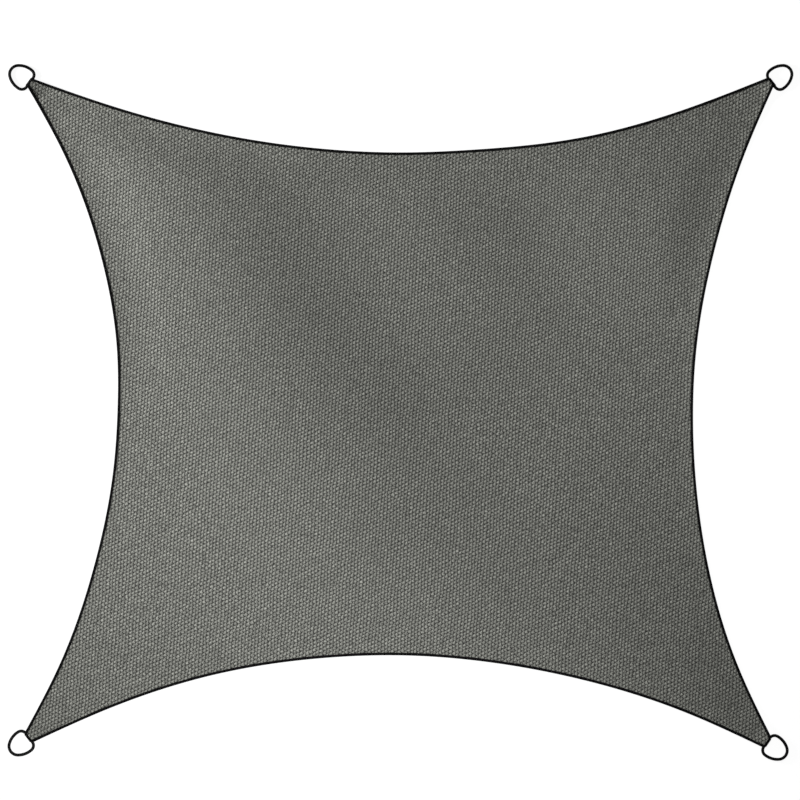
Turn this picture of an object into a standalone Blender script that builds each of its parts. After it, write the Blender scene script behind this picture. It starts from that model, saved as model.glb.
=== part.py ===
"""A four-cornered shade sail of grey woven cloth, laid out face up on a flat surface.

The sail is one panel with four hollow-cut edges. A black tape is folded over each edge, and a short
loop of black webbing, sewn under each corner, holds a rounded-triangle ring of black wire.
Metres, +Z up, X along the sail's longer side. The origin lies under the middle of the whole sail.
Lengths below are in millimetres until MM turns them into metres.
"""

import math

import bmesh
import bpy
import numpy as np
from mathutils import Vector
from mathutils.geometry import delaunay_2d_cdt

MM = 0.001

# Gap between two pieces that touch.
GAP = 0.3

# The cloth and the tape folded over its edge.
CLOTH_THICK = 1.2
TAPE_THICK = 0.7
TAPE_WIDTH = 7.2
TAPE_HOLD = TAPE_WIDTH + 1.0  # from the edge, the tape holds the cloth level this far in
TAPE_HEIGHT = 2 * TAPE_THICK + 2 * GAP + CLOTH_THICK
EDGE_LIFT = TAPE_THICK + GAP  # how far the tape's lower leg lifts the cloth's edge

# The ring: an eight-sided wire round a bar, two corners, two bowed sides and a crown.
WIRE_RADIUS = 3.8  # to the middle of each flat
WIRE_SIDES = 8
BAR_LENGTH = 28.0  # the straight stretch
CORNER_RADIUS, CORNER_TURN, CORNER_STEPS = 15.6, 85.0, 6
SIDE_RADIUS, SIDE_TURN, SIDE_STEPS = 53.3, 43.0, 4
CROWN_RADIUS, CROWN_TURN, CROWN_STEPS = 23.4, 104.0, 13

# The webbing loop: an eye round the bar and two legs lying on each other under the cloth.
WEB_THICK = 1.0
WEB_WIDTH = 25.0
WIRE_CORNER = WIRE_RADIUS / math.cos(math.pi / WIRE_SIDES)
EYE_SLACK = 0.03  # for the short straight stretches that the eye is made of
EYE_RADIUS = WIRE_CORNER + GAP + EYE_SLACK + WEB_THICK / 2  # to the middle of the webbing
EYE_STEPS = 14
LEG_END = 52.0  # behind the bar
LEGS_MEET = 36.0
BAR_Z = EYE_RADIUS + WEB_THICK / 2

# Where the cloth ends, behind the bar's centre line, and how high the tape's underside is there.
CLOTH_END = 2.5
LEGS_TOP = 2 * WEB_THICK + GAP
EYE_TOP = 2 * BAR_Z - 0.5  # the webbing has dropped by this much there
RISE_START, LEGS_COVER, FALL_END = 48.0, 60.0, 110.0
SPINE = (8, 17, 28, 40, 54)  # extra points down the middle of each corner, this far behind the bar

# Each corner: the middle of its ring's bar, the way the ring points (degrees from +X), and where
# the two edges of the sail end, measured along the bar. The corners are in order round the sail.
CORNERS = {
    # name: (bar_x, bar_y, heading, edge_in, edge_out)
    "bottom_left": (-980.0, -858.6, 217.0, -19.2, 16.2),
    "bottom_right": (966.7, -871.4, -34.2, -16.3, 21.3),
    "top_right": (980.8, 868.8, 38.8, -9.3, 19.6),
    "top_left": (-978.3, 870.1, 143.5, -14.2, 12.9),
}

# Each edge, from one corner to the next: how far it is cut in from the straight line between its
# ends, at these shares of that line.
SAG_SHARES = (0.1, 0.25, 0.4, 0.5, 0.6, 0.75, 0.9)
EDGES = {
    # name: (from corner, to corner, sags)
    "bottom": ("bottom_left", "bottom_right", (87.2, 182.1, 227.4, 235.4, 224.3, 175.3, 85.4)),
    "right": ("bottom_right", "top_right", (81.4, 162.2, 201, 208, 199.1, 152.3, 72.4)),
    "top": ("top_right", "top_left", (74.2, 155.1, 187.9, 195, 186.1, 144, 67.3)),
    "left": ("top_left", "bottom_left", (93.3, 189.2, 237, 240, 228, 176.2, 86.3)),
}
END_STEPS = (0, 5, 10, 15, 20, 26, 34, 46, 62, 84)  # stations near each end of an edge
EDGE_STEP = 60.0  # between stations along the rest

# The cloth's soft folds. Each runs through its middle at its heading (degrees from +X) and bows to
# one side by bow at both ends. It is height high, and reaches this far to the left and the right.
FOLDS = (
    # (middle_x, middle_y, heading, half_length, bow, height, reach_left, reach_right)
    (-470, 385, -70, 1000, 190, 18, 385, 355),
    (15, 845, -82, 870, 175, 8, 310, 420),
    (650, 560, -43, 313, 183, 8, 420, 320),
    (35, -335, -63, 985, -160, 8, 270, 420),
)
FOLD_FADE = 0.35  # share of a fold's half length over which it dies away at each end
EDGE_QUIET, EDGE_FADE = 26.0, 150.0  # no fold within the first, whole ones past the second
CELL = 55.0  # the cloth's triangles


def smooth(t):
    """From 0 to 1 as t goes from 0 to 1, level at both ends."""
    t = np.clip(t, 0.0, 1.0)
    return t * t * (3 - 2 * t)


def unit(angle):
    """The flat direction at this many degrees from +X."""
    return np.array([math.cos(math.radians(angle)), math.sin(math.radians(angle))])


def corner_frame(name):
    """A corner's bar middle, the way its ring points, and the way along the bar, round the sail."""
    bar_x, bar_y, heading, _, _ = CORNERS[name]
    return np.array([bar_x, bar_y]), unit(heading), unit(heading + 90)


def corner_rise(point):
    """How high the tape's underside is: over a loop's legs, then over its eye; elsewhere 0."""
    rise = 0.0
    for name in CORNERS:
        bar, outward, _ = corner_frame(name)
        behind = float((bar - point) @ outward)
        if behind > FALL_END or np.linalg.norm(point - bar) > 2 * FALL_END:
            continue
        legs = (LEGS_TOP + GAP) * smooth((FALL_END - behind) / (FALL_END - LEGS_COVER))
        eye = (EYE_TOP - LEGS_TOP) * smooth((RISE_START - behind) / (RISE_START - CLOTH_END))
        rise = max(rise, legs + eye)
    return rise


def spline(shares, values):
    """The natural cubic spline through these values, as a function of the share."""
    x, y = np.array(shares, float), np.array(values, float)
    step = np.diff(x)
    matrix, right = np.eye(len(x)), np.zeros(len(x))
    for i in range(1, len(x) - 1):
        matrix[i, i - 1 : i + 2] = step[i - 1], 2 * (step[i - 1] + step[i]), step[i]
        right[i] = 6 * ((y[i + 1] - y[i]) / step[i] - (y[i] - y[i - 1]) / step[i - 1])
    bend = np.linalg.solve(matrix, right)

    def at(share):
        i = np.clip(np.searchsorted(x, share) - 1, 0, len(step) - 1)
        a, b = (x[i + 1] - share) / step[i], (share - x[i]) / step[i]
        curve = (a**3 - a) * bend[i] + (b**3 - b) * bend[i + 1]
        return a * y[i] + b * y[i + 1] + step[i] ** 2 / 6 * curve

    return at


def edge_stations(name):
    """Along one edge of the sail: points on its outer line, the way inwards at each, and its lift.

    The way inwards is square to the edge, apart from at both ends, where it runs along the ring's
    bar, so that the cloth and the tape are cut off parallel to the bar.
    """
    start, end, sags = EDGES[name]
    bar_a, out_a, along_a = corner_frame(start)
    bar_b, out_b, along_b = corner_frame(end)
    first = bar_a - CLOTH_END * out_a + CORNERS[start][4] * along_a
    last = bar_b - CLOTH_END * out_b + CORNERS[end][3] * along_b
    chord = last - first
    length = np.linalg.norm(chord)
    inwards = np.array([-chord[1], chord[0]]) / length
    sag = spline((0, *SAG_SHARES, 1), (0, *sags, 0))
    near = np.array(END_STEPS, float)
    count = round((length - 2 * near[-1]) / EDGE_STEP)
    middle = np.linspace(near[-1], length - near[-1], count + 1)[1:-1]
    shares = np.concatenate([near, middle, (length - near)[::-1]]) / length

    def at(share):
        return first + np.outer(share, chord) + np.outer(sag(share), inwards)

    points = at(shares)
    nudge = 1e-4
    tangent = at(np.clip(shares + nudge, 0, 1)) - at(np.clip(shares - nudge, 0, 1))
    tangent /= np.linalg.norm(tangent, axis=1)[:, None]
    ways = np.stack([-tangent[:, 1], tangent[:, 0]], 1)
    ways[0] = -along_a / (ways[0] @ -along_a)
    ways[-1] = along_b / (ways[-1] @ along_b)
    return points, ways, np.array([corner_rise(p) for p in points])


def fold_height(point):
    """The height of the cloth's soft folds at a point, before they die away near the edges."""
    height = 0.0
    for x, y, heading, half_length, bow, top, reach_left, reach_right in FOLDS:
        off = point - np.array([x, y])
        along = float(off @ unit(heading)) / half_length
        across = float(off @ unit(heading + 90)) - bow * along**2
        reach = reach_left if across > 0 else reach_right
        height += top * smooth((1 - abs(along)) / FOLD_FADE) * smooth(1 - abs(across) / reach)
    return height


def material(name, colour, roughness, metallic=0.0):
    made = bpy.data.materials.new(name)
    made.use_nodes = True
    shader = made.node_tree.nodes["Principled BSDF"]
    shader.inputs["Base Color"].default_value = (*colour, 1)
    shader.inputs["Roughness"].default_value = roughness
    shader.inputs["Metallic"].default_value = metallic
    return made


def new_object(name, mesh, finish, parent, smooth_under=None):
    if not mesh.materials:
        mesh.materials.append(finish)
    if smooth_under is not None:
        mesh.shade_smooth()
        mesh.set_sharp_from_angle(angle=math.radians(smooth_under))
    made = bpy.data.objects.new(name, mesh)
    made.parent = parent
    bpy.context.collection.objects.link(made)
    return made


def swept_mesh(name, sections, closed):
    """A solid through rings of points, in millimetres: round again if closed, else with two caps."""
    bm = bmesh.new()
    rings = [[bm.verts.new(Vector(p) * MM) for p in section] for section in sections]
    sides = len(rings[0])
    following = rings[1:] + rings[:1] if closed else rings[1:]
    for ring, after in zip(rings, following):
        for i in range(sides):
            j = (i + 1) % sides
            bm.faces.new((ring[i], ring[j], after[j], after[i]))
    if not closed:
        bm.faces.new(rings[0][::-1])
        bm.faces.new(rings[-1])
    bmesh.ops.recalc_face_normals(bm, faces=bm.faces)
    mesh = bpy.data.meshes.new(name)
    bm.to_mesh(mesh)
    bm.free()
    return mesh


def mitres(points, closed):
    """The way square to a flat path at each point, stretched so that a strip along it keeps its width."""
    steps = np.roll(points, -1, 0) - points
    steps /= np.linalg.norm(steps, axis=1)[:, None]
    before = np.roll(steps, 1, 0)
    if not closed:
        before[0], steps[-1] = steps[0], before[-1]
    square = np.stack([-(before + steps)[:, 1], (before + steps)[:, 0]], 1)
    return 2 * square / (square**2).sum(1)[:, None]


def ring_line():
    """The wire's centre line, seen from above: x from the bar to the crown, y along the bar."""
    heading = 90 + CROWN_TURN / CROWN_STEPS / 2
    half = [np.zeros(2)]
    arcs = (
        (CROWN_RADIUS, CROWN_TURN / CROWN_STEPS, CROWN_STEPS // 2),
        (SIDE_RADIUS, SIDE_TURN / SIDE_STEPS, SIDE_STEPS),
        (CORNER_RADIUS, CORNER_TURN / CORNER_STEPS, CORNER_STEPS),
    )
    for radius, turn, count in arcs:
        for _ in range(count):
            chord = 2 * radius * math.sin(math.radians(turn / 2))
            half.append(half[-1] + chord * unit(heading + turn / 2))
            heading += turn
    half = np.array(half)
    half -= half[-1] - (0, BAR_LENGTH / 2)
    return np.concatenate([half, half[::-1] * (1, -1)])


def ring_mesh():
    line = ring_line()
    sections = []
    for (x, y), (way_x, way_y) in zip(line, mitres(line, closed=True)):
        section = []
        for k in range(WIRE_SIDES):
            angle = 2 * math.pi * (k + 0.5) / WIRE_SIDES
            off, up = WIRE_CORNER * math.cos(angle), WIRE_CORNER * math.sin(angle)
            section.append((x + off * way_x, y + off * way_y, up))
        sections.append(section)
    return swept_mesh("ring", sections, closed=True)


def loop_mesh():
    """The webbing loop round the bar, whose centre is its origin; the ring points along +X."""
    lower, upper = -EYE_RADIUS, -EYE_RADIUS + WEB_THICK + GAP
    knee = np.array([-LEGS_MEET, upper])
    distance = np.linalg.norm(knee)
    leave = math.degrees(math.atan2(*knee[::-1]) - math.acos(EYE_RADIUS / distance)) % 360
    eye = [EYE_RADIUS * unit(a) for a in np.linspace(leave, -90, EYE_STEPS + 1)]
    path = np.array([(-LEG_END, upper), knee, *eye, (-LEG_END, lower)])
    sections = []
    for (x, z), way in zip(path, mitres(path, closed=False)):
        out_x, out_z = way * WEB_THICK / 2
        half = WEB_WIDTH / 2
        sections.append(
            [
                (x + out_x, half, z + out_z),
                (x + out_x, -half, z + out_z),
                (x - out_x, -half, z - out_z),
                (x - out_x, half, z - out_z),
            ]
        )
    return swept_mesh("corner_loop", sections, closed=False)


def binding_mesh(name):
    """The tape folded over one edge: a back wall outside the cloth's edge, and a leg on each face."""
    points, ways, lift = edge_stations(name)
    inner, top = TAPE_THICK, TAPE_HEIGHT
    profile = (
        (0, 0),
        (TAPE_WIDTH, 0),
        (TAPE_WIDTH, inner),
        (inner, inner),
        (inner, top - inner),
        (TAPE_WIDTH, top - inner),
        (TAPE_WIDTH, top),
        (0, top),
    )
    sections = [
        [(*(p + off * way), base + up) for off, up in profile]
        for p, way, base in zip(points, ways, lift)
    ]
    return swept_mesh("edge_binding_" + name, sections, closed=False)


def cloth_rows():
    """The cloth's outline and two rows inside it, as points with the height of the underside.

    The outline and the first row lie in the tape, which holds both level across the edge.
    """
    edge_at = TAPE_THICK + GAP
    rows = {"outline": [], "in tape": [], "off tape": []}
    stations = {name: edge_stations(name) for name in EDGES}
    for name, (points, ways, lift) in stations.items():
        level = lift + EDGE_LIFT
        rows["outline"].append(np.column_stack([points + edge_at * ways, level]))
        rows["in tape"].append(np.column_stack([points + TAPE_HOLD * ways, level]))
        others = np.concatenate([stations[n][0] for n in EDGES if n != name])
        inner = points + EDGE_QUIET * ways
        clear = np.array([np.linalg.norm(others - p, axis=1).min() for p in inner])
        inner = inner[clear > EDGE_QUIET]
        height = [corner_rise(p) for p in inner]
        rows["off tape"].append(np.column_stack([inner, height]))
    return rows


def lattice(rows):
    """Points evenly over the cloth inside its rows, with the height of the underside."""
    outline = np.concatenate(rows["outline"])[:, :2]
    after = np.roll(outline, -1, 0)
    low, high = outline.min(0), outline.max(0)
    found = []
    for row in range(int((high[1] - low[1]) / (CELL * math.sqrt(0.75))) + 1):
        for column in range(int((high[0] - low[0]) / CELL) + 1):
            x = low[0] + (column + 0.5 * (row % 2)) * CELL
            point = np.array([x, low[1] + row * CELL * math.sqrt(0.75)])
            crosses = (outline[:, 1] > point[1]) != (after[:, 1] > point[1])
            share = (point[1] - outline[crosses, 1]) / (after - outline)[crosses, 1]
            reach = outline[crosses, 0] + share * (after - outline)[crosses, 0]
            inside = (reach > point[0]).sum() % 2 == 1
            away = np.linalg.norm(outline - point, axis=1).min()
            if inside and away > EDGE_QUIET + CELL / 2:
                quiet = smooth((away - EDGE_QUIET) / (EDGE_FADE - EDGE_QUIET))
                height = corner_rise(point) + fold_height(point) * quiet
                found.append((*point, height))
    return found


def corner_spine(name):
    """Points down the middle of one corner, where the cloth climbs over the loop to the ring's bar."""
    bar, outward, along = corner_frame(name)
    middle = (CORNERS[name][3] + CORNERS[name][4]) / 2
    found = []
    for behind in SPINE:
        point = bar - behind * outward + middle * along
        found.append((*point, corner_rise(point)))
    return found


def cloth_mesh():
    """The sail's panel: triangles between its rows, its corners and the lattice, then its thickness."""
    rows = cloth_rows()
    verts, edges = [], []

    def add(points, closed):
        first = len(verts)
        verts.extend(tuple(map(float, p)) for p in points)
        last = len(verts) - 1
        edges.extend((i, i + 1) for i in range(first, last))
        if closed:
            edges.append((last, first))

    add(np.concatenate(rows["outline"]), closed=True)
    for row in rows["in tape"]:
        add(row, closed=False)
    add(np.concatenate(rows["off tape"]), closed=True)
    verts.extend(lattice(rows))
    for name in CORNERS:
        verts.extend(corner_spine(name))
    flat = [Vector(v[:2]) for v in verts]
    inside_outline = 1
    points, _, faces, origins, _, _ = delaunay_2d_cdt(flat, edges, [], inside_outline, 1e-4)
    heights = []
    for point, origin in zip(points, origins):
        if not origin:
            raise ValueError(f"two rows of the cloth cross at {tuple(point)}")
        heights.append(verts[origin[0]][2])
    bm = bmesh.new()
    under = [bm.verts.new(Vector((p.x, p.y, z)) * MM) for p, z in zip(points, heights)]
    for face in faces:
        bm.faces.new([under[i] for i in face])
    raised = bmesh.ops.extrude_face_region(bm, geom=bm.faces[:])["geom"]
    tops = [g for g in raised if isinstance(g, bmesh.types.BMVert)]
    bmesh.ops.translate(bm, verts=tops, vec=(0, 0, CLOTH_THICK * MM))
    bmesh.ops.recalc_face_normals(bm, faces=bm.faces)
    mesh = bpy.data.meshes.new("sail_cloth")
    bm.to_mesh(mesh)
    bm.free()
    return mesh


def loop_shift(name):
    """How far along the bar a loop sits: under the middle of the cloth, as far as the bar is straight."""
    room = (BAR_LENGTH - WEB_WIDTH) / 2
    middle = (CORNERS[name][3] + CORNERS[name][4]) / 2
    return max(-room, min(room, middle))


def main():
    for old in list(bpy.data.objects):
        bpy.data.objects.remove(old)
    sail = bpy.data.objects.new("shade_sail", None)
    bpy.context.collection.objects.link(sail)
    woven = material("grey_woven_cloth", (0.141, 0.144, 0.13), 0.85)
    tape = material("black_tape", (0.006, 0.006, 0.006), 0.7)
    webbing = material("black_webbing", (0.008, 0.008, 0.008), 0.75)
    wire = material("black_coated_steel", (0.006, 0.006, 0.006), 0.35, 0.2)

    new_object("sail_cloth", cloth_mesh(), woven, sail, smooth_under=35)
    for name in EDGES:
        new_object("edge_binding_" + name, binding_mesh(name), tape, sail)

    ring, loop = ring_mesh(), loop_mesh()
    flat_half = WIRE_RADIUS * math.tan(math.pi / WIRE_SIDES)
    crown_reach = ring_line()[:, 0].max() + flat_half
    droop = math.asin((BAR_Z - WIRE_RADIUS) / crown_reach)
    for name, (_, _, heading, _, _) in CORNERS.items():
        bar, _, along = corner_frame(name)
        turn = math.radians(heading)
        made = new_object("ring_" + name, ring, wire, sail, smooth_under=50)
        made.location = Vector((*bar, BAR_Z)) * MM
        made.rotation_euler = (0, droop, turn)
        made = new_object("corner_loop_" + name, loop, webbing, sail, smooth_under=40)
        made.location = Vector((*(bar + loop_shift(name) * along), BAR_Z)) * MM
        made.rotation_euler = (0, 0, turn)


main()
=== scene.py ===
# %% [markdown]
# # A woven shade sail, laid out flat
# A shade sail is one panel of strong woven cloth that hangs by its corners and keeps the sun off
# a terrace. Its four edges are cut hollow, so that they pull tight, and are bound in black tape.
# A loop of black webbing under each corner holds a bent wire ring for a hook.
#
# The plain solids are already modelled. They could be dressed with a material and left, but their
# cloth has coarse triangles and their wire is eight-sided. So every piece is made again here, in
# the same place and to the same sizes, fine enough to be seen from a hand's width away.

# %% Load the solids and keep their size
import math

import bpy
import numpy as np
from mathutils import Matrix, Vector
from mathutils.geometry import delaunay_2d_cdt


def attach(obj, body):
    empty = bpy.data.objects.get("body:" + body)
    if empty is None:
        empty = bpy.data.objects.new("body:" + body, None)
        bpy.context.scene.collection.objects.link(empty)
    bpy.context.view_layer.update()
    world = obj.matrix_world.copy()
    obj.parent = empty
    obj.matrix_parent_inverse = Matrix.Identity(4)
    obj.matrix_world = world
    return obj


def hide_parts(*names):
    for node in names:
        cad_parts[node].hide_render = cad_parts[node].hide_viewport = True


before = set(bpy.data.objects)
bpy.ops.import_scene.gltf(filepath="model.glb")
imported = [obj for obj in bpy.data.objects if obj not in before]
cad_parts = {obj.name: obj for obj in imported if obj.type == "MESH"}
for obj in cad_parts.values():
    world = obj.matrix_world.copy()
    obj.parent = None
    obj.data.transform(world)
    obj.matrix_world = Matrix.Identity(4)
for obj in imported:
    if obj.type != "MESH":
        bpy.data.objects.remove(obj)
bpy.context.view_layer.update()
MM = 0.001
PER_METRE = 1000  # millimetres in a metre

# %% [markdown]
# ## The camera, straight above
# The sail is photographed face on. A camera without perspective would do, but it can't step back
# by itself when another side is looked at. A long lens from far off sees almost the same, and it
# frames the sail from any side.

# %% Hang the camera over the sail
PIXELS = 800
PIXEL_SIZE = 0.00264  # metres of sail in one pixel of the picture
MIDDLE_PIXEL = (400.41, 412.38)  # where the sail's middle falls in the picture
CAMERA_HEIGHT = 20.0
SENSOR_WIDTH = 36.0  # millimetres
FARTHEST = 200.0  # metres from the camera; nothing beyond is drawn

camera_data = bpy.data.cameras.new("overhead_camera")
camera_data.sensor_width = SENSOR_WIDTH
camera_data.lens = SENSOR_WIDTH * CAMERA_HEIGHT / (PIXELS * PIXEL_SIZE)
camera_data.clip_end = FARTHEST
camera = bpy.data.objects.new("overhead_camera", camera_data)
bpy.context.scene.collection.objects.link(camera)
camera.location = (
    (PIXELS / 2 - MIDDLE_PIXEL[0]) * PIXEL_SIZE,
    (MIDDLE_PIXEL[1] - PIXELS / 2) * PIXEL_SIZE,
    CAMERA_HEIGHT,
)
bpy.context.scene.camera = camera
bpy.context.scene.view_settings.view_transform = "Standard"
print("lens", round(camera_data.lens, 1), "mm at", CAMERA_HEIGHT, "m")

# %% [markdown]
# ## Floor and light
# The sail lies on a light table: its top is grey glass, and the glow from under it is what looks
# white. A white floor with more light on it would shine past the thin black lines and eat them.
#
# Three lamps and a dim sky light the cloth. One stands low on the left, so that it rakes across
# the soft folds, and its narrow beam points past the middle, because the corners beside it would
# get too much light from a wide one. One hangs low over the right half, and its light thins out
# towards the corners. A spot high up lays a wide pool of light on the near left corner, and the
# soft rim of the pool crosses the sail.

# %% Lay the floor
FLOOR_HALF = 40.0
FLOOR_DROP = 0.0004  # metres, so that the floor and the cloth's underside don't share a plane
FLOOR_GREY, FLOOR_GLOW = 0.14, 0.92


def plain_finish(name, colour, roughness):
    """A new material and its shader."""
    made = bpy.data.materials.new(name)
    made.use_nodes = True
    shader = made.node_tree.nodes["Principled BSDF"]
    shader.inputs["Base Color"].default_value = (*colour, 1)
    shader.inputs["Roughness"].default_value = roughness
    return made, shader


light_table, floor_shader = plain_finish("light_table", (FLOOR_GREY,) * 3, 0.9)
floor_shader.inputs["Emission Color"].default_value = (1, 1, 1, 1)
floor_shader.inputs["Emission Strength"].default_value = FLOOR_GLOW
floor_mesh = bpy.data.meshes.new("floor")
corner_signs = ((-1, -1), (1, -1), (1, 1), (-1, 1))
floor_corners = [(x * FLOOR_HALF, y * FLOOR_HALF, 0) for x, y in corner_signs]
floor_mesh.from_pydata(floor_corners, [], [(0, 1, 2, 3)])
floor_mesh.materials.append(light_table)
floor = bpy.data.objects.new("floor", floor_mesh)
floor.location.z = -FLOOR_DROP
bpy.context.scene.collection.objects.link(floor)
print("floor", 2 * FLOOR_HALF, "m wide")

# %% Set the lights
# Places are in metres, powers in watts and the spread in degrees.
SKY = 0.15
LAMP_WIDTH = 0.8
RAKING_PLACE, RAKING_AIM = (-3.49, 0.94, 1.16), (0.37, 0.62, 0)
RAKING_POWER, RAKING_SPREAD = 25.0, 56
OVERHEAD_PLACE, OVERHEAD_POWER = (0.66, 0.09, 1.2), 6.9
POOL_MIDDLE, POOL_HEIGHT, POOL_POWER = (-2.95, -4.23), 24.0, 19550
POOL_RADIUS, POOL_SOFT = 4.86, 1.0  # how far the pool reaches, and the width of its rim
POOL_LAMP_RADIUS = 0.3


def add_light(name, kind, place, aim, power):
    """A light of some kind at a place, turned towards a point."""
    data = bpy.data.lights.new(name, kind)
    data.energy = power
    made = bpy.data.objects.new(name, data)
    made.location = place
    made.rotation_euler = (Vector(aim) - Vector(place)).to_track_quat("-Z", "Y").to_euler()
    made.visible_camera = False
    bpy.context.scene.collection.objects.link(made)
    return data


raking = add_light("raking_light", "AREA", RAKING_PLACE, RAKING_AIM, RAKING_POWER)
raking.size = LAMP_WIDTH
raking.spread = math.radians(RAKING_SPREAD)
straight_down = (*OVERHEAD_PLACE[:2], 0)
overhead = add_light("overhead_light", "AREA", OVERHEAD_PLACE, straight_down, OVERHEAD_POWER)
overhead.size = LAMP_WIDTH
pool_place = (*POOL_MIDDLE, POOL_HEIGHT)
pool = add_light("pool_light", "SPOT", pool_place, (*POOL_MIDDLE, 0), POOL_POWER)
outer = math.atan((POOL_RADIUS + POOL_SOFT / 2) / POOL_HEIGHT)
inner = math.atan((POOL_RADIUS - POOL_SOFT / 2) / POOL_HEIGHT)
pool.spot_size = 2 * outer
pool.spot_blend = (math.cos(inner) - math.cos(outer)) / (1 - math.cos(outer))
pool.shadow_soft_size = POOL_LAMP_RADIUS
world = bpy.data.worlds.new("pale_sky")
world.use_nodes = True
world.node_tree.nodes["Background"].inputs["Color"].default_value = (1, 1, 1, 1)
world.node_tree.nodes["Background"].inputs["Strength"].default_value = SKY
bpy.context.scene.world = world

# %% [markdown]
# ## The cutting pattern
# Everything follows from four corners and four hollow edges, as on the maker's table. Each corner
# is the middle of its ring's straight bar and the way the ring points. Each edge is a row of
# depths, measured in from the straight line between its ends. A drawn curve would do for an edge,
# but depths are what a sailmaker marks on the cloth, and a spline through them is as smooth as
# the batten that the maker bends along the marks. All of it is in millimetres.

# %% Mark out the corners and the edges
CORNERS = {
    # name: (bar_x, bar_y, heading, edge_in, edge_out), where the last two say how far along the
    # bar, from its middle, the edge that ends here and the edge that starts here stand
    "bottom_left": (-980.0, -858.6, 217.0, -19.2, 16.2),
    "bottom_right": (966.7, -871.4, -34.2, -16.3, 21.3),
    "top_right": (980.8, 868.8, 38.8, -9.3, 19.6),
    "top_left": (-978.3, 870.1, 143.5, -14.2, 12.9),
}
SAG_SHARES = (0.1, 0.25, 0.4, 0.5, 0.6, 0.75, 0.9)  # where along an edge depths are marked
EDGES = {
    # name: (from corner, to corner, depths)
    "bottom": ("bottom_left", "bottom_right", (87.2, 182.1, 227.4, 235.4, 224.3, 175.3, 85.4)),
    "right": ("bottom_right", "top_right", (81.4, 162.2, 201, 208, 199.1, 152.3, 72.4)),
    "top": ("top_right", "top_left", (74.2, 155.1, 187.9, 195, 186.1, 144, 67.3)),
    "left": ("top_left", "bottom_left", (93.3, 189.2, 237, 240, 228, 176.2, 86.3)),
}
CLOTH_END = 2.5  # the cloth stops this far behind the bar


def unit(angle):
    """The flat direction at this many degrees from +X."""
    return np.array([math.cos(math.radians(angle)), math.sin(math.radians(angle))])


def smooth(t):
    """From 0 to 1 as t goes from 0 to 1, level at both ends."""
    t = np.clip(t, 0.0, 1.0)
    return t * t * (3 - 2 * t)


def corner_frame(name):
    """A corner's bar middle, the way its ring points, and the way along the bar."""
    bar_x, bar_y, heading, _, _ = CORNERS[name]
    return np.array([bar_x, bar_y]), unit(heading), unit(heading + 90)


def spline(shares, values):
    """The natural cubic spline through these values, as a function of the share."""
    x, y = np.array(shares, float), np.array(values, float)
    step = np.diff(x)
    matrix, right = np.eye(len(x)), np.zeros(len(x))
    for i in range(1, len(x) - 1):
        matrix[i, i - 1 : i + 2] = step[i - 1], 2 * (step[i - 1] + step[i]), step[i]
        right[i] = 6 * ((y[i + 1] - y[i]) / step[i] - (y[i] - y[i - 1]) / step[i - 1])
    bend = np.linalg.solve(matrix, right)

    def at(share):
        i = np.clip(np.searchsorted(x, share) - 1, 0, len(step) - 1)
        a, b = (x[i + 1] - share) / step[i], (share - x[i]) / step[i]
        curve = (a**3 - a) * bend[i] + (b**3 - b) * bend[i + 1]
        return a * y[i] + b * y[i + 1] + step[i] ** 2 / 6 * curve

    return at


def run_along(points):
    """How far along a line each of its points is."""
    return np.concatenate([[0], np.cumsum(np.linalg.norm(np.diff(points, axis=0), axis=1))])


def edge_line(name, spacing):
    """Points along an edge's outer line, the way inwards at each, and the distance run so far.

    The way inwards is square to the edge, and along the ring's bar at both ends.
    """
    start, end, sags = EDGES[name]
    bar_a, out_a, along_a = corner_frame(start)
    bar_b, out_b, along_b = corner_frame(end)
    *_, edge_out = CORNERS[start]
    *_, edge_in, _ = CORNERS[end]
    first = bar_a - CLOTH_END * out_a + edge_out * along_a
    last = bar_b - CLOTH_END * out_b + edge_in * along_b
    chord = last - first
    inwards = np.array([-chord[1], chord[0]]) / np.linalg.norm(chord)
    sag = spline((0, *SAG_SHARES, 1), (0, *sags, 0))
    shares = np.linspace(0, 1, round(np.linalg.norm(chord) / spacing) + 1)
    points = first + np.outer(shares, chord) + np.outer(sag(shares), inwards)
    run = run_along(points)
    tangent = np.gradient(points, run, axis=0, edge_order=2)
    tangent /= np.linalg.norm(tangent, axis=1)[:, None]
    ways = np.stack([-tangent[:, 1], tangent[:, 0]], 1)
    ways[0] = -along_a / (ways[0] @ -along_a)
    ways[-1] = along_b / (ways[-1] @ along_b)
    return points, ways, run


for edge in EDGES:
    print(edge, "edge:", round(edge_line(edge, 10)[2][-1]), "mm along the curve")

# %% [markdown]
# ## How high the cloth lies
# Cloth on a floor is never quite flat. Long soft folds stay in it from the packet, and at each
# corner it climbs over the webbing's legs and eye. Running a cloth simulation is one way to get
# this, but it would wander from the outline. The folds of this sail are few and broad, so each
# one is a bowed crest with a height and a reach to either side, and they die away at the edges.
# A fold runs through its middle at its heading, and its ends bow to one side.

# %% Shape the folds and the corners
CLOTH_THICK, TAPE_THICK, GAP = 1.2, 0.7, 0.3  # the gap is left between neighbours
EDGE_LIFT = TAPE_THICK + GAP
WIRE_RADIUS, WIRE_CLEAR = 3.8, 0.643  # the webbing stands this far off the bare wire
WEB_THICK = 1.0
EYE_RADIUS = WIRE_RADIUS + WIRE_CLEAR + WEB_THICK / 2
BAR_Z = EYE_RADIUS + WEB_THICK / 2
LEGS_TOP = 2 * WEB_THICK + GAP
WEB_DROP = 0.5  # the webbing has dropped by this much where the cloth ends
EYE_TOP = 2 * BAR_Z - WEB_DROP
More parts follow.
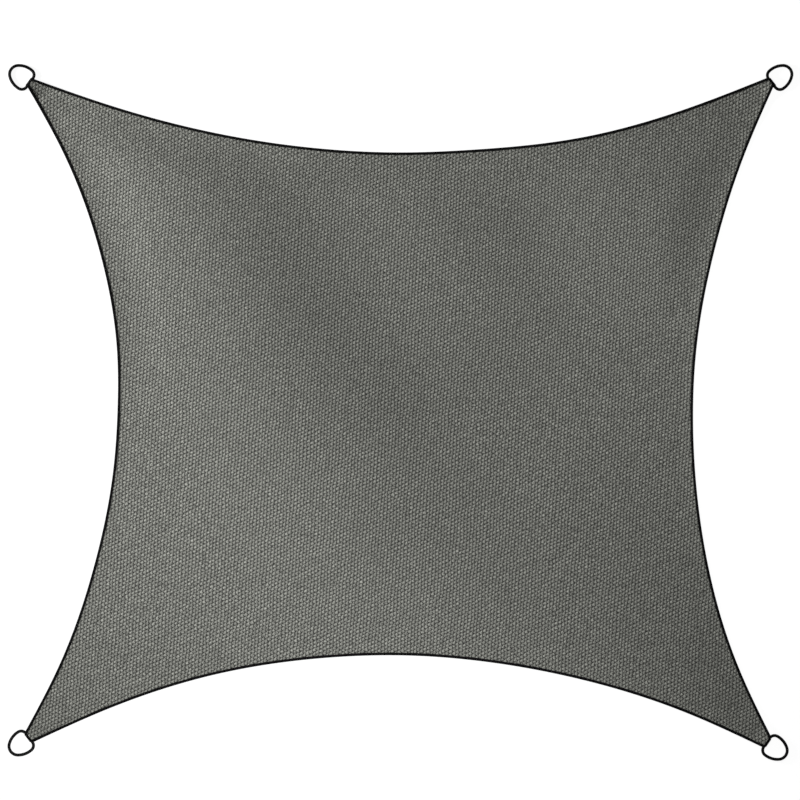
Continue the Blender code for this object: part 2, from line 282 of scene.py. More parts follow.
# How far behind the bar the cloth starts to rise over the eye, how far it lies level over the
# webbing's legs, and where it is down again.
RISE_START, LEGS_COVER, FALL_END = 48.0, 60.0, 110.0
FOLDS = (
    # (middle_x, middle_y, heading, half_length, bow, height, reach_left, reach_right)
    (-470, 385, -70, 1000, 190, 18, 385, 355),
    (15, 845, -82, 870, 175, 8, 310, 420),
    (650, 560, -43, 313, 183, 8, 420, 320),
    (35, -335, -63, 985, -160, 8, 270, 420),
)
FOLD_FADE = 0.35  # the share of its half length over which a fold dies away
# How far in from the edge the tape holds the cloth up, where the cloth is down and the folds
# start, and where they have their full height.
TAPE_HOLD, EDGE_QUIET, EDGE_FADE = 8.2, 26.0, 150.0


def corner_rise(points):
    """How high the tape's underside is at each point: over a loop's legs, then over its eye."""
    rise = np.zeros(len(points))
    for name in CORNERS:
        bar, outward, _ = corner_frame(name)
        behind = (bar - points) @ outward
        legs = (LEGS_TOP + GAP) * smooth((FALL_END - behind) / (FALL_END - LEGS_COVER))
        eye = (EYE_TOP - LEGS_TOP) * smooth((RISE_START - behind) / (RISE_START - CLOTH_END))
        near = np.linalg.norm(points - bar, axis=1) < 2 * FALL_END
        rise = np.maximum(rise, np.where(near, legs + eye, 0))
    return rise


def fold_height(points):
    """How high the soft folds lift each point."""
    height = np.zeros(len(points))
    for x, y, heading, half_length, bow, top, reach_left, reach_right in FOLDS:
        off = points - (x, y)
        along = off @ unit(heading) / half_length
        across = off @ unit(heading + 90) - bow * along**2
        reach = np.where(across > 0, reach_left, reach_right)
        height += top * smooth((1 - abs(along)) / FOLD_FADE) * smooth(1 - abs(across) / reach)
    return height


outer_lines = np.concatenate([edge_line(name, 8)[0] for name in EDGES])


def from_edge(points):
    """How far each point is from the nearest edge of the sail."""
    away = [np.linalg.norm(outer_lines - p, axis=1).min() for p in points]
    return np.array(away)


def cloth_height(points, away):
    """The height of the cloth's underside."""
    lift = EDGE_LIFT * (1 - smooth((away - TAPE_HOLD) / (EDGE_QUIET - TAPE_HOLD)))
    quiet = smooth((away - EDGE_QUIET) / (EDGE_FADE - EDGE_QUIET))
    return corner_rise(points) + lift + fold_height(points) * quiet


# %% [markdown]
# ## The cloth
# The panel is one piece. A grid pulled between the four edges would be the usual start, but its
# squares get squeezed at the corners. Here the outline and a few rows beside it are fixed first,
# the middle is filled with evenly spaced points, and Blender's own triangulation joins them up.

# %% Cut the cloth
CELL = 17.0
ROW_SPACING = 11.0
ROWS = (3.0, 6.5, 11.0, 17.0, 25.0)  # how far inside the outer line
RAW_EDGE = TAPE_THICK + GAP  # the cloth stops this far inside the tape's fold
END_ROWS = 8.0  # rows nearer the edge than this have points at the very corners
ROW_CLEAR, GRID_CLEAR = 3.0, 0.6 * CELL  # from the other edges, and from the last row
SAME_POINT = 1e-3


def add_piece(name, verts, faces, finish, smooth_under=40):
    """A mesh piece from points in millimetres; it rides with the solids.

    Where it bends by more than smooth_under degrees, its edge looks sharp.
    """
    mesh = bpy.data.meshes.new(name)
    mesh.from_pydata([Vector(v) * MM for v in verts], [], faces)
    mesh.materials.append(finish)
    mesh.shade_smooth()
    mesh.set_sharp_from_angle(angle=math.radians(smooth_under))
    made = bpy.data.objects.new(name, mesh)
    bpy.context.scene.collection.objects.link(made)
    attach(made, "root")
    return made


def inside(points, outline):
    """Which points lie inside a closed outline."""
    after = np.roll(outline, -1, 0)
    found = np.zeros(len(points), bool)
    for a, b in zip(outline, after):
        crosses = (a[1] > points[:, 1]) != (b[1] > points[:, 1])
        reach = a[0] + (points[:, 1] - a[1]) * (b[0] - a[0]) / (b[1] - a[1] + 1e-12)
        found ^= crosses & (reach > points[:, 0])
    return found


def cloth_faces():
    """The panel's points in plan, and its triangles."""
    lines = {name: edge_line(name, ROW_SPACING) for name in EDGES}
    outline = np.concatenate([p + RAW_EDGE * w for p, w, _ in lines.values()])
    outer = {name: p for name, (p, _, _) in lines.items()}
    points = [outline]
    links = [(i, (i + 1) % len(outline)) for i in range(len(outline))]
    for depth in ROWS:
        for name, (line, ways, _) in lines.items():
            row = line + depth * ways
            others = np.concatenate([outer[n] for n in EDGES if n != name])
            clear = np.array([np.linalg.norm(others - p, axis=1).min() for p in row])
            kept = clear > depth + ROW_CLEAR
            if depth > END_ROWS:
                kept[[0, -1]] = False
            points.append(row[kept])
    low, high = outline.min(0), outline.max(0)
    rows = np.arange(low[1], high[1], CELL * math.sqrt(0.75))
    columns = np.arange(low[0], high[0], CELL)
    grid = np.array([(x + CELL / 2 * (k % 2), y) for k, y in enumerate(rows) for x in columns])
    grid = grid[inside(grid, outline)]
    points.append(grid[from_edge(grid) > ROWS[-1] + GRID_CLEAR])
    flat = [Vector(p) for p in np.concatenate(points)]
    inside_outline = 1
    verts, _, faces, *_ = delaunay_2d_cdt(flat, links, [], inside_outline, SAME_POINT)
    return np.array([(v.x, v.y) for v in verts]), [tuple(f) for f in faces]


plan, triangles = cloth_faces()
under = cloth_height(plan, from_edge(plan))
print("cloth:", len(plan), "points in plan,", len(triangles), "triangles a side")

# %% [markdown]
# ## The weave
# Seen close, the cloth is a plain weave: broad light grey bands run from top to bottom, narrower
# dark grey ones run across, and each goes over and under the next. The light bands also swing a
# little from side to side on their way, so that light and dark dots stand side by side. Real
# threads in mesh would need millions of faces, and a photographed pattern would blur from near
# by. So the weave is worked out from two heights, one for each set of bands: whichever is higher
# shows. The same height also gives the bump, and a painted shade: the colour is darker where the
# cloth lies deep between the bands. No two crossings are quite alike, so their brightness and
# place wander, and so does the tone along each thread.

# %% Measure the weave
WARP_PITCH, WEFT_PITCH = 8.55, 5.105  # millimetres from one band to the next
WEAVE_TURN = math.radians(3.85)
FLOAT_LEAN = -0.8  # how far the bumps of the light bands lean over, as a share of a weft pitch
SWING = -0.143  # how far a light band swings aside at the top, as a share of its pitch
CRIMP = 0.42  # how far a band rises and dips
# How round a band is, and the share of its pitch that it fills.
LIGHT_ROUND, LIGHT_WIDTH = 0.857, 0.73
DARK_ROUND, DARK_WIDTH = 0.2, 0.746
DARK_SINK = 0.14  # the dark bands lie this much deeper
GAP_STEEP = 3.0  # how steeply the height drops beside a band
# How often in a metre the threads stray to and fro, and how many millimetres there are between
# the furthest strays: over a hand's width, and from one crossing to the next.
WANDER_SIZE, WANDER = 14.0, 5.0
JITTER_SIZE, JITTER = 58.0, 4.7

print("light bands", WARP_PITCH, "mm apart, dark bands", WEFT_PITCH, "mm apart")

# %% A number that travels through a material


class Wire:
    """One number in a material's node tree; sums and products of wires add Math nodes."""

    def __init__(self, tree, socket):
        self.tree, self.socket = tree, socket

    def math(self, operation, *others):
        node = self.tree.nodes.new("ShaderNodeMath")
        node.operation = operation
        for socket, value in zip(node.inputs, (self, *others)):
            if isinstance(value, Wire):
                self.tree.links.new(value.socket, socket)
            else:
                socket.default_value = value
        return Wire(self.tree, node.outputs[0])

    def __add__(self, other):
        return self.math("ADD", other)

    def __sub__(self, other):
        return self.math("SUBTRACT", other)

    def __mul__(self, other):
        return self.math("MULTIPLY", other)

    def between(self, low, high):
        """The wire's run from 0 to 1 turned into a run from low to high."""
        return self * (high - low) + low

    def clamped(self, low=0.0, high=1.0):
        return self.math("MAXIMUM", low).math("MINIMUM", high)


def flat_place(tree, x, y):
    """A vector socket from two wires."""
    node = tree.nodes.new("ShaderNodeCombineXYZ")
    tree.links.new(x.socket, node.inputs["X"])
    tree.links.new(y.socket, node.inputs["Y"])
    return node.outputs[0]


def wires(tree, vector):
    """The first two numbers of a vector socket, each as a wire."""
    parts = tree.nodes.new("ShaderNodeSeparateXYZ")
    tree.links.new(vector, parts.inputs[0])
    return Wire(tree, parts.outputs["X"]), Wire(tree, parts.outputs["Y"])


print("what a wire can do:", [name for name in vars(Wire) if name[0] != "_"])

# %% Noise, chance and colour


def noise(tree, vector, scale, detail, output="Fac"):
    """A socket of cloudy noise at a place."""
    node = tree.nodes.new("ShaderNodeTexNoise")
    tree.links.new(vector, node.inputs["Vector"])
    node.inputs["Scale"].default_value = scale
    node.inputs["Detail"].default_value = detail
    return node.outputs[output]


def grain(tree, vector, scale, detail):
    """Cloudy noise at a place, as a wire."""
    return Wire(tree, noise(tree, vector, scale, detail))


def chance(tree, vector):
    """One random number from 0 to 1 for each whole-numbered place."""
    node = tree.nodes.new("ShaderNodeTexWhiteNoise")
    node.noise_dimensions = "3D"
    tree.links.new(vector, node.inputs["Vector"])
    return Wire(tree, node.outputs["Value"])


def blend(tree, share, low, high):
    """A colour between two, by share."""
    node = tree.nodes.new("ShaderNodeMix")
    node.data_type = "RGBA"
    tree.links.new(share.socket, node.inputs["Factor"])
    for name, value in (("A", low), ("B", high)):
        socket = next(i for i in node.inputs if i.name == name and i.type == "RGBA")
        socket.default_value = (*value, 1)
    return next(o for o in node.outputs if o.type == "RGBA")


def shaded(tree, colour, strength):
    """A colour made darker or lighter by a wire."""
    node = tree.nodes.new("ShaderNodeVectorMath")
    node.operation = "SCALE"
    tree.links.new(colour, node.inputs[0])
    tree.links.new(strength.socket, node.inputs["Scale"])
    return node.outputs[0]


def bump(tree, shader, height, distance, strength=1.0):
    """Raises a shader's surface by a wire, where 1 stands for the distance in metres."""
    node = tree.nodes.new("ShaderNodeBump")
    node.inputs["Strength"].default_value = strength
    node.inputs["Distance"].default_value = distance
    tree.links.new(height.socket, node.inputs["Height"])
    tree.links.new(node.outputs["Normal"], shader.inputs["Normal"])


print("noise, grain, chance, blend, shaded and bump are ready")

# %% Find the crossing under each spot of cloth
PLAIN_GREY, PLAIN_ROUGH = (0.14, 0.143, 0.13), 0.85  # until the weave is in

woven_grey, cloth_shader = plain_finish("grey_woven_cloth", PLAIN_GREY, PLAIN_ROUGH)
tree = woven_grey.node_tree
place = tree.nodes.new("ShaderNodeTexCoord").outputs["Object"]
place_x, place_y = wires(tree, place)
x, y = place_x * PER_METRE, place_y * PER_METRE
stray_x, stray_y = wires(tree, noise(tree, place, WANDER_SIZE, 1.0, "Color"))
shake_x, shake_y = wires(tree, noise(tree, place, JITTER_SIZE, 0.0, "Color"))
drift_x = (stray_x - 0.5) * WANDER + (shake_x - 0.5) * JITTER
drift_y = (stray_y - 0.5) * WANDER + (shake_y - 0.5) * JITTER
cosine, sine = math.cos(WEAVE_TURN), math.sin(WEAVE_TURN)
warp = (x * cosine - y * sine + drift_x) * (1 / WARP_PITCH)
warp_number = warp.math("FLOOR")
across_warp = warp - warp_number - 0.5
weft = (x * sine + y * cosine + drift_y) * (1 / WEFT_PITCH) + across_warp * FLOAT_LEAN
weft_number = weft.math("FLOOR")
across_weft = weft - weft_number - 0.5
odd = (warp_number + weft_number).math("FLOORED_MODULO", 2.0)
over = odd * -2.0 + 1.0  # 1 where the light band is on top, -1 where the dark one is
across_light = across_warp - (across_weft * math.pi).math("COSINE") * over * SWING
print("place, band and crossing:", len(tree.nodes), "nodes")

# %% Weave the cloth's finish
LIGHT_BAND, DARK_BAND = (0.2204, 0.2237, 0.2019), (0.0469, 0.0479, 0.042)
CROSSING_SHARP = 4.2  # how quickly one band gives way to the other
FIBRES_ACROSS, FIBRES_ALONG = 3.0, 0.25  # waves of noise in a millimetre
CLOUDS, SLUBS, FLUFF = 3.5, 400.0, 900.0  # waves of noise in a metre
# The darkest and the lightest that each kind of unevenness, and the painted shade between the
# bands, makes the cloth.
CROSSING_TONES, FIBRE_TONES = (0.85, 1.15), (0.527, 1.472)
CLOUD_TONES, SLUB_TONES = (0.94, 1.06), (0.1, 1.9)
# Painted shade: the cloth's colour is darker the deeper it lies between the bands.
GAP_SHADE_TONES, GAP_SHADE_LIMITS = (0.585, 1.03), (0.7, 1.15)  # deep down, and on top of a band
CLOTH_ROUGH = (0.72, 0.92)
FIBRE_RELIEF = 0.17  # how high a fibre stands, as a share of a band's height
BAND_RELIEF, RELIEF_STRENGTH = 0.0003, 0.8  # metres, and how much of it shows


def band_height(across, along, sign, roundness, width):
    """The height of a band: round across its width, rising and dipping along its length.

    Past its sides the height drops away steeply, so that the gaps between bands are deep.
    """
    edge = across * (2 / width)
    rest = edge * edge * -1.0 + 1.0
    crown = rest.math("MAXIMUM", 0.0).math("SQRT") * roundness
    beside = rest.math("MINIMUM", 0.0) * GAP_STEEP
    return crown + beside + (along * math.pi).math("COSINE") * sign * CRIMP


light_height = band_height(across_light, across_weft, over, LIGHT_ROUND, LIGHT_WIDTH)
dark_height = band_height(across_weft, across_light, over * -1.0, DARK_ROUND, DARK_WIDTH)
dark_height = dark_height - DARK_SINK
on_top = ((light_height - dark_height) * CROSSING_SHARP + 0.5).clamped()
height = light_height.math("MAXIMUM", dark_height)

crossing = chance(tree, flat_place(tree, warp_number, weft_number)).between(*CROSSING_TONES)
fibre_place = flat_place(tree, x * FIBRES_ACROSS, y * FIBRES_ALONG)
fibres = grain(tree, fibre_place, 1.0, 3.0).between(*FIBRE_TONES)
clouds = grain(tree, place, CLOUDS, 3.0).between(*CLOUD_TONES)
slubs = grain(tree, place, SLUBS, 0.0).between(*SLUB_TONES)
# Painted shade: the colour is darkened where the cloth lies deep, in the gaps between the bands.
gap_painted_shade = height.between(*GAP_SHADE_TONES).clamped(*GAP_SHADE_LIMITS)
woven = blend(tree, on_top, DARK_BAND, LIGHT_BAND)
tone_and_painted_shade = gap_painted_shade * crossing * fibres * clouds * slubs
tree.links.new(shaded(tree, woven, tone_and_painted_shade), cloth_shader.inputs["Base Color"])
rough = grain(tree, place, FLUFF, 2.0).between(*CLOTH_ROUGH)
tree.links.new(rough.socket, cloth_shader.inputs["Roughness"])
cloth_shader.inputs["Specular IOR Level"].default_value = 0.25
bump(tree, cloth_shader, height + fibres * FIBRE_RELIEF, BAND_RELIEF, RELIEF_STRENGTH)
print("woven finish:", len(tree.nodes), "nodes")

# %% Lay the cloth
BAKE_MAP = "OFBake"
MAP_FILL = 0.99  # the cloth takes up this share of its map


def cloth_solid():
    """The panel with its thickness: an underside, a face and a narrow rim between them."""
    count = len(plan)
    low = np.column_stack([plan, under])
    high = low + (0, 0, CLOTH_THICK)
    faces = [t[::-1] for t in triangles] + [tuple(i + count for i in t) for t in triangles]
    edges = [edge for a, b, c in triangles for edge in ((a, b), (b, c), (c, a))]
    known = set(edges)
    faces += [(a, b, b + count, a + count) for a, b in edges if (b, a) not in known]
    return np.concatenate([low, high]), faces


cloth_verts, cloth_polys = cloth_solid()
cloth = add_piece("sail_panel", cloth_verts, cloth_polys, woven_grey)
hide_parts("sail_cloth")
span = np.ptp(plan, axis=0).max() * MM
flat_map = cloth.data.uv_layers.new(name=BAKE_MAP)
for loop in cloth.data.loops:
    where = cloth.data.vertices[loop.vertex_index].co
    flat_map.data[loop.index].uv = [c / span * MAP_FILL + 0.5 for c in (where.x, where.y)]

# %% [markdown]
# ## The edge tape
# A tape is folded over the raw edge and sewn through. A curve with a bevel would give a round
# cord. A U-shaped section carried along the edge gives the real thing: two flat legs with the
# cloth between them, and a soft fold on the outside. Each point keeps a note of how far along the
# tape it is, so that the ribs of the tape follow the edge.

# %% Carry a section along a line
TAPE_WIDTH = 7.2
TAPE_HEIGHT = 2 * TAPE_THICK + 2 * GAP + CLOTH_THICK
FOLD_ROUND, LEG_BEVEL = 0.9, 0.2  # the radius of the fold, and the cut corners of the legs
RUN_MAP = "along"


def carry(name, sections, closed, finish, smooth_under=40):
    """A piece through rings of points in millimetres, with a map of real lengths over it."""
    sections = np.array(sections, float)
    rings, sides = sections.shape[:2]
    after = np.roll(sections, -1, 0)
    steps = np.linalg.norm(after - sections, axis=2).mean(1)
    along = np.concatenate([[0], np.cumsum(steps)])
    around = np.linalg.norm(np.roll(sections, -1, 1) - sections, axis=2).mean(0)
    around = np.concatenate([[0], np.cumsum(around)])
    faces, places = [], []
    for i in range(rings if closed else rings - 1):
        j = (i + 1) % rings
        for k in range(sides):
            m = (k + 1) % sides
            faces.append((i * sides + k, i * sides + m, j * sides + m, j * sides + k))
            places += [
                (along[i], around[k]),
                (along[i], around[k + 1]),
                (along[i + 1], around[k + 1]),
                (along[i + 1], around[k]),
            ]
    if not closed:
        faces += [tuple(range(sides))[::-1], tuple(range((rings - 1) * sides, rings * sides))]
        places += [(0, 0)] * (2 * sides)
    made = add_piece(name, sections.reshape(-1, 3), faces, finish, smooth_under)
    run_map = made.data.uv_layers.new(name=RUN_MAP)
    run_map.data.foreach_set("uv", (np.array(places) * MM).ravel())
    return made


def tape_section():
    """The U of a folded tape: (inwards, up), with a rounded fold at its back."""
    inner, top, wide, turn, cut = TAPE_THICK, TAPE_HEIGHT, TAPE_WIDTH, FOLD_ROUND, LEG_BEVEL
    bend = [math.radians(a) for a in (0, 22, 45, 68, 90)]
    low = [(turn - turn * math.sin(a), turn - turn * math.cos(a)) for a in bend]
    high = [(turn - turn * math.cos(a), top - turn + turn * math.sin(a)) for a in bend]
    upper_leg = [(wide - cut, top), (wide, top - cut), (wide, top - inner)]
    lower_leg = [(wide, inner), (wide, cut), (wide - cut, 0)]
    return low + high + upper_leg + [(inner, top - inner), (inner, inner)] + lower_leg


print("tape section:", len(tape_section()), "points")

# %% [markdown]
# ### What black tape looks like
# Woven tape is black but not featureless: fine ribs cross it, and the light catches them. A wave
# along the tape draws the ribs, and a little noise breaks them up. The colour is painted darker
# in the hollows between the ribs, as shade. On webbing the ribs slant to and fro, which makes a
# herringbone. Ribs in mesh would take very many faces, for a height of about a tenth of a
# millimetre.

# %% Finish the tape and the webbing
TAPE_BLACK, WEBBING_BLACK = (0.002, 0.002, 0.0022), (0.0024, 0.0024, 0.0026)
# Painted shade: the black that the colour darkens to in the hollows between the ribs.
RIB_SHADE_BLACK = (0.0008, 0.0008, 0.0008)
TAPE_RIBS, WEBBING_RIBS, YARNS = 1.1, 1.6, 0.9  # millimetres from one to the next
HERRINGBONE = 3.1  # millimetres across one slope of it
YARN_HEIGHT, FUZZ_HEIGHT = 0.2, 0.5  # as shares of a rib's height
FUZZ_TONE, RIB_PAINTED_SHADE, LEAST_TONE = 0.9, 0.5, 0.35
TAPE_ROUGH = (0.55, 0.85)
TAPE_RELIEF, WEBBING_RELIEF = 0.00012, 0.0003  # metres


def ribbed_black(name, colour, pitch, slant, depth):
    """Black woven tape with ribs across it and painted shade in the hollows between them; slant
    turns the ribs into a herringbone.
    """
    made, shader = plain_finish(name, colour, 0.7)
    tree = made.node_tree
    map_node = tree.nodes.new("ShaderNodeUVMap")
    map_node.uv_map = RUN_MAP
    map_x, map_y = wires(tree, map_node.outputs["UV"])
    along, around = map_x * PER_METRE, map_y * PER_METRE
    zigzag = around.math("PINGPONG", HERRINGBONE) * slant
    ribs = ((along + zigzag) * (2 * math.pi / pitch)).math("SINE") * 0.5 + 0.5
    yarns = (around * (2 * math.pi / YARNS)).math("SINE")
    fuzz = grain(tree, flat_place(tree, along, around), 2.0, 3.0)
    height = ribs + yarns * YARN_HEIGHT + fuzz * FUZZ_HEIGHT
    # Painted shade: the colour is darker in the hollows between the ribs and lighter on their
    # tops.
    tone_and_painted_shade = fuzz * FUZZ_TONE + ribs * RIB_PAINTED_SHADE + LEAST_TONE
    ribbed = shaded(tree, blend(tree, tone_and_painted_shade.clamped(), RIB_SHADE_BLACK, colour), tone_and_painted_shade)
    tree.links.new(ribbed, shader.inputs["Base Color"])
    tree.links.new(fuzz.between(*TAPE_ROUGH).socket, shader.inputs["Roughness"])
    shader.inputs["Specular IOR Level"].default_value = 0.06
    bump(tree, shader, height, depth)
    return made


black_tape = ribbed_black("black_tape", TAPE_BLACK, TAPE_RIBS, 0.0, TAPE_RELIEF)
black_webbing = ribbed_black("black_webbing", WEBBING_BLACK, WEBBING_RIBS, 1.0, WEBBING_RELIEF)
print("black finishes:", black_tape.name, black_webbing.name)

# %% Fold the tape over the edges
TAPE_SPACING = 9.0
# No tape is folded quite evenly: the free edges of its legs wander in and out, in two waves.
WOBBLES = ((0.18, 23.0, 0.0), (0.12, 9.1, 1.3))  # (how far, how long, where it starts)

for edge in EDGES:
    line, ways, run = edge_line(edge, TAPE_SPACING)
    lift = corner_rise(line)
    wobble = sum(far * np.sin(run / long + start) for far, long, start in WOBBLES)
    sections = []
    for p, way, base, slack in zip(line, ways, lift, wobble):
        section = []
        for off, up in tape_section():
            off += slack * (off > TAPE_WIDTH / 2)
            section.append((*(p + off * way), base + up))
        sections.append(section[::-1])
    name = "edge_tape_" + edge
    carry(name, sections, False, black_tape, smooth_under=60)
    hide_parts("edge_binding_" + edge)

# %% [markdown]
# ## The rings
# A ring is bent from one length of round wire: a straight bar for the webbing, two tight corners,
# two slightly bowed sides and a rounder crown, and its ends are welded together. A torus can't
# give that outline. Short steps along arcs can, and a circle carried round them makes the wire.
# The weld is a small swelling in one side, and a coating a quarter of a millimetre thick covers
# it all. Each ring hangs a little from its bar until the crown touches the floor.

# %% Draw a ring
BAR_LENGTH = 28.0
ARCS = (
    # (radius, degrees turned, steps), from the crown to the bar
    (23.4, 52.0, 22),
    (53.3, 43.0, 22),
    (15.6, 85.0, 24),
)
BAR_STEPS = 6  # the bar is straight, so few will do


def ring_line():
    """The wire's centre line in its own plane: x from the bar to the crown, y along the bar."""
    heading, half = 90.0, [np.zeros(2)]
    for radius, turn, steps in ARCS:
        step = turn / steps
        chord = 2 * radius * math.sin(math.radians(step / 2))
        for _ in range(steps):
            half.append(half[-1] + chord * unit(heading + step / 2))
            heading += step
    half = np.array(half)
    half -= half[-1] - (0, BAR_LENGTH / 2)
    across = np.linspace(BAR_LENGTH / 2, -BAR_LENGTH / 2, BAR_STEPS + 1)[1:-1]
    bar = np.column_stack([np.zeros(len(across)), across])
    return np.concatenate([half, bar, half[:0:-1] * (1, -1)])


def square_to(points, closed):
    """The way square to a flat path at each point, stretched so that a strip keeps its width."""
    steps = np.roll(points, -1, 0) - points
    steps /= np.linalg.norm(steps, axis=1)[:, None]
    before = np.roll(steps, 1, 0)
    if not closed:
        before[0], steps[-1] = steps[0], before[-1]
    square = np.stack([-(before + steps)[:, 1], (before + steps)[:, 0]], 1)
    return 2 * square / (square**2).sum(1)[:, None]


wire_line = ring_line()
ring_long, ring_wide = wire_line[:, 0].max(), np.ptp(wire_line[:, 1])
print("ring:", round(ring_long, 1), "mm long,", round(ring_wide, 1), "mm wide")

# %% Coat the wire
COATING_BLACK, RUBBED_BLACK = (0.0013, 0.0013, 0.0014), (0.005, 0.005, 0.0054)
RUBBED_FROM, RUBBED_SHARP = 0.62, 9.0  # above how much noise it is rubbed, and how suddenly
PEEL, RUBS = 1400.0, 160.0  # waves of noise in a metre
COATING_ROUGH = (0.34, 0.64)
PEEL_RELIEF = 0.00005  # metres


def coated_black():
    """Black coated steel: an even half gloss with a faint orange-peel texture."""
    made, shader = plain_finish("black_coated_steel", (0.004, 0.004, 0.0044), 0.4)
    tree = made.node_tree
    place = tree.nodes.new("ShaderNodeTexCoord").outputs["Object"]
    peel = grain(tree, place, PEEL, 2.0)
    rubs = grain(tree, place, RUBS, 5.0)
    rubbed = ((rubs - RUBBED_FROM) * RUBBED_SHARP).clamped()
    colour = blend(tree, rubbed, COATING_BLACK, RUBBED_BLACK)
    tree.links.new(colour, shader.inputs["Base Color"])
    tree.links.new(rubs.between(*COATING_ROUGH).socket, shader.inputs["Roughness"])
    shader.inputs["Specular IOR Level"].default_value = 0.08
    bump(tree, shader, peel, PEEL_RELIEF)
    return made


coated_steel = coated_black()
print("coating:", coated_steel.name)

# %% Bend the rings
WIRE_SIDES = 28
COAT = 0.25  # the coating makes the wire this much thicker all round
COATED_RADIUS = WIRE_RADIUS + COAT
# How far along the wire from the crown the weld is, how far it reaches, and how much it swells.
WELD_AT, WELD_HALF, WELD_RISE = 34.0, 1.3, 0.3

from_weld = (run_along(wire_line) - WELD_AT) / WELD_HALF
swell = 1 + WELD_RISE / COATED_RADIUS * np.exp(-(from_weld**2))
droop = math.asin((BAR_Z - COATED_RADIUS) / ring_long)
for corner in CORNERS:
    bar, outward, along = corner_frame(corner)
    sections = []
    for (x, y), (way_x, way_y), grow in zip(wire_line, square_to(wire_line, True), swell):
        section = []
        for k in range(WIRE_SIDES):
            angle = 2 * math.pi * k / WIRE_SIDES
            off = grow * COATED_RADIUS * math.cos(angle)
            up = grow * COATED_RADIUS * math.sin(angle)
            out, side = x + off * way_x, y + off * way_y
            reach = out * math.cos(droop) + up * math.sin(droop)
            rise = BAR_Z - out * math.sin(droop) + up * math.cos(droop)
            section.append((*(bar + reach * outward + side * along), rise))
        sections.append(section)
    name = "wire_ring_" + corner
    carry(name, sections, True, coated_steel)
    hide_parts("ring_" + corner)

# %% [markdown]
# ## The webbing loops
# Each loop is one strip of 25 mm webbing. It goes round the ring's bar, and its two legs lie on
# each other under the cloth's corner, where they are sewn. From above only the turn over the bar
# shows. The strip is carried along a path drawn from the side.

# %% Wrap the webbing round the bars
WEB_WIDTH, WEB_ROUND = 25.0, 0.35
LEG_END, LEGS_MEET = 52.0, 36.0  # how far behind the bar the legs end, and where they meet
EYE_STEPS = 48


def loop_path():
    """The webbing's middle seen from the side: x outwards from the bar, z up from its centre."""
    lower, upper = -EYE_RADIUS, -EYE_RADIUS + WEB_THICK + GAP
    knee = np.array([-LEGS_MEET, upper])
    leave = math.atan2(knee[1], knee[0]) - math.acos(EYE_RADIUS / np.linalg.norm(knee))
    turns = np.linspace(math.degrees(leave) % 360, -90, EYE_STEPS + 1)
    eye = [EYE_RADIUS * unit(a) for a in turns]
    soften = [knee + (d, 0) for d in (-6, -3, -1)]
    lower_leg = [(x, lower) for x in (-8, -16, -LEG_END)]
    return np.array([(-LEG_END, upper), *soften, knee, *eye, *lower_leg])


def web_section():
    """Across the webbing: (along the bar, out of the strip), with soft edges."""
    half, thick, turn = WEB_WIDTH / 2, WEB_THICK / 2, WEB_ROUND
    quarter = [math.radians(a) for a in (0, 30, 60, 90)]
    middle_y, middle_z = half - turn, thick - turn
    side = [(middle_y + turn * math.sin(a), middle_z + turn * math.cos(a)) for a in quarter]
    side += [(middle_y + turn * math.cos(a), -middle_z - turn * math.sin(a)) for a in quarter]
    return side + [(-y, -z) for y, z in side]


def web_shift(corner):
    """How far along the bar the webbing slides, to lie under the middle of the cloth's end."""
    *_, edge_in, edge_out = CORNERS[corner]
    room = (BAR_LENGTH - WEB_WIDTH) / 2
    return max(-room, min(room, (edge_in + edge_out) / 2))


path = loop_path()
for corner in CORNERS:
    bar, outward, along = corner_frame(corner)
    shift = web_shift(corner)
    sections = []
    for (x, z), (way_x, way_z) in zip(path, square_to(path, False)):
        section = []
        for side, out in web_section():
            where = bar + (x + out * way_x) * outward + (shift + side) * along
            section.append((*where, BAR_Z + z + out * way_z))
        sections.append(section)
    name = "webbing_loop_" + corner
    carry(name, sections, False, black_webbing, smooth_under=50)
    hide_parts("corner_loop_" + corner)
print("loop path:", round(run_along(path)[-1]), "mm of webbing")

# %% [markdown]
# ## The stitching
# The tape is held by one row of lock stitches in black thread, and the webbing by a box with a
# cross in it, in thread as grey as the cloth, so that it hardly shows. A bump could hint at them,
# but a stitch is a small arch of thread that stands up from the cloth, and it is simple to build
# as that.

# %% Make a stitch
THREAD_RADIUS, THREAD_SIDES = 0.36, 6
TWIST = 2500.0  # waves of noise in a metre
THREAD_ROUGH, TWIST_RELIEF = (0.5, 0.8), 0.0001
# Where along a stitch its rings of points lie, how high, and how thick the thread is there. The
# ends dip into the cloth.
STATIONS = (
    (0.0, -0.3, 0.7),
    (0.12, 0.12, 1.0),
    (0.5, 0.22, 1.0),
    (0.88, 0.12, 1.0),
    (1.0, -0.3, 0.7),
)


def thread_finish(name, colour):
    """Polyester thread, with a twist that catches the light."""
    made, shader = plain_finish(name, colour, 0.5)
    tree = made.node_tree
    place = tree.nodes.new("ShaderNodeTexCoord").outputs["Object"]
    twist = grain(tree, place, TWIST, 1.0)
    tree.links.new(twist.between(*THREAD_ROUGH).socket, shader.inputs["Roughness"])
    shader.inputs["Specular IOR Level"].default_value = 0.15
    bump(tree, shader, twist, TWIST_RELIEF)
    return made


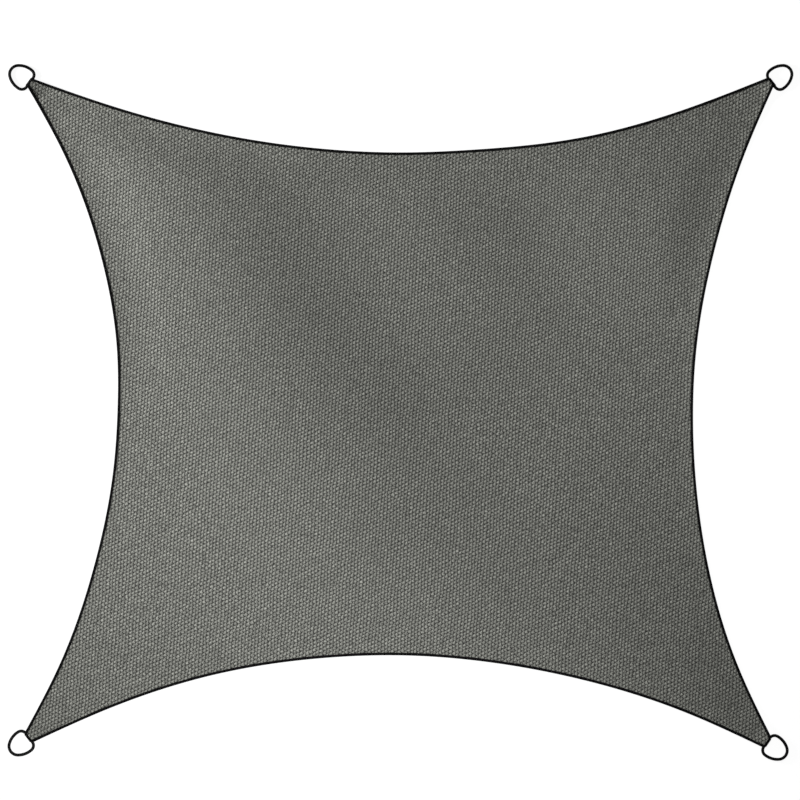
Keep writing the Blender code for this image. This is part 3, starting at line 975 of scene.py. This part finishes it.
def stitches(name, starts, ends, finish, slot):
    """Small arches of thread from each start to each end, points in millimetres."""
    starts, ends = np.array(starts), np.array(ends)
    reach = ends - starts
    length = np.linalg.norm(reach, axis=1)[:, None]
    along = reach / length
    side = np.cross((0, 0, 1.0), along)
    side /= np.linalg.norm(side, axis=1)[:, None]
    up = np.cross(along, side)
    sides = THREAD_SIDES
    verts = []
    for share, rise, thick in STATIONS:
        middle = starts + share * reach + rise * up
        for k in range(sides):
            angle = 2 * math.pi * k / sides
            off = math.cos(angle) * side + math.sin(angle) * up
            verts.append(middle + THREAD_RADIUS * thick * off)
    verts = np.array(verts).transpose(1, 0, 2)
    per = len(STATIONS) * sides
    faces = []
    for n in range(len(starts)):
        base = n * per
        for i in range(len(STATIONS) - 1):
            for k in range(sides):
                m = (k + 1) % sides
                a, b = base + i * sides, base + (i + 1) * sides
                faces.append((a + k, a + m, b + m, b + k))
        faces.append(tuple(base + k for k in range(sides))[::-1])
        faces.append(tuple(base + per - sides + k for k in range(sides)))
    return add_piece(name, verts.reshape(-1, 3), faces, finish, smooth_under=70)


black_thread = thread_finish("black_thread", (0.004, 0.004, 0.0044))
grey_thread = thread_finish("grey_thread", (0.115, 0.117, 0.107))
print("threads:", black_thread.name, "and", grey_thread.name)

# %% Sew the tape
STITCH_PITCH, STITCH_LENGTH = 5.0, 3.9
STITCH_INSET = 4.8  # from the edge's outer line
SEAM_START, SEAM_STOP = 3.0, 2.0  # how much of a tape is left unsewn at its two ends

for edge in EDGES:
    line, ways, _ = edge_line(edge, STITCH_PITCH / 4)
    seam = line + STITCH_INSET * ways
    seam = np.column_stack([seam, corner_rise(line) + TAPE_HEIGHT])
    run = run_along(seam)
    begin = np.arange(SEAM_START, run[-1] - STITCH_LENGTH - SEAM_STOP, STITCH_PITCH)
    starts = np.column_stack([np.interp(begin, run, seam[:, i]) for i in range(3)])
    ends = np.column_stack([np.interp(begin + STITCH_LENGTH, run, seam[:, i]) for i in range(3)])
    stitches("tape_stitching_" + edge, starts, ends, black_thread, "black_tape")

# %% Sew the corners
BOX_FROM, BOX_TO, BOX_HALF = 38.0, 50.0, 9.5  # how far behind the bar, and half the width
BOX_PITCH, BOX_GAP = 3.4, 0.1  # the length of a stitch, and the share free at each of its ends
BOX = ((BOX_FROM, -1), (BOX_FROM, 1), (BOX_TO, 1), (BOX_TO, -1))  # (behind the bar, side)
BOX_LINES = (*zip(BOX, BOX[1:] + BOX[:1]), (BOX[0], BOX[2]), (BOX[1], BOX[3]))


def on_top_of_cloth(points):
    """These points of the plan, laid on the cloth's face."""
    return np.column_stack([points, cloth_height(points, from_edge(points)) + CLOTH_THICK])


for corner in CORNERS:
    bar, outward, along = corner_frame(corner)
    shift = web_shift(corner)
    starts, ends = [], []
    for (behind_a, side_a), (behind_b, side_b) in BOX_LINES:
        a = bar - behind_a * outward + (shift + side_a * BOX_HALF) * along
        b = bar - behind_b * outward + (shift + side_b * BOX_HALF) * along
        count = round(np.linalg.norm(b - a) / BOX_PITCH)
        for k in range(count):
            starts.append(a + (b - a) * (k + BOX_GAP) / count)
            ends.append(a + (b - a) * (k + 1 - BOX_GAP) / count)
    raised = [on_top_of_cloth(np.array(p)) for p in (starts, ends)]
    stitches("corner_stitching_" + corner, *raised, grey_thread, "black_webbing")

# Its flat size is that of the rectangle round it, and its area is about a third less, because
# its edges are hollow.
